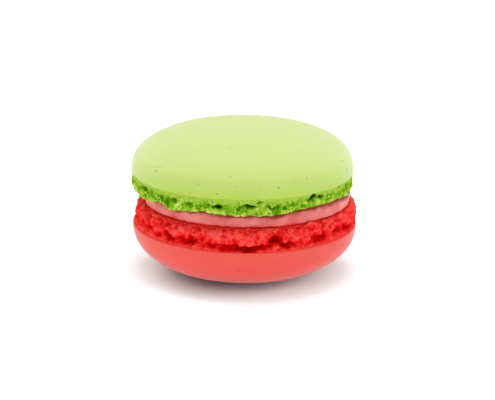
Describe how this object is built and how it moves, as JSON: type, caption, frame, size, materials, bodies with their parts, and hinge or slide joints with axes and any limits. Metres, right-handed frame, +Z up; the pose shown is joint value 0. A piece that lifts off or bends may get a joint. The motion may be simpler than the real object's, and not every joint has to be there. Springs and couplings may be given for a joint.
{
  "type": "french macaron",
  "caption": "Round filled almond biscuit: two smooth domed shells with ruffled feet, joined by a layer of cream.",
  "frame": {"origin": "centre of the small flat spot under the lower dome, at the bottom of the macaron", "axes": "+Z up through the middle of both shells, -Y the side that faces the viewer in the picture, +X to the right"},
  "size_m": [0.0456, 0.0455, 0.0302],
  "materials": {
    "red_biscuit": "coral red baked almond meringue, matte smooth skin with a rough spongy foot",
    "pink_cream": "soft pink buttercream, satin",
    "green_biscuit": "pistachio green baked almond meringue, matte smooth skin with a rough spongy foot"
  },
  "bodies": {
    "root": {"lower_shell": "red_biscuit", "cream_filling": "pink_cream", "upper_shell": "green_biscuit"}
  },
  "joints": []
}
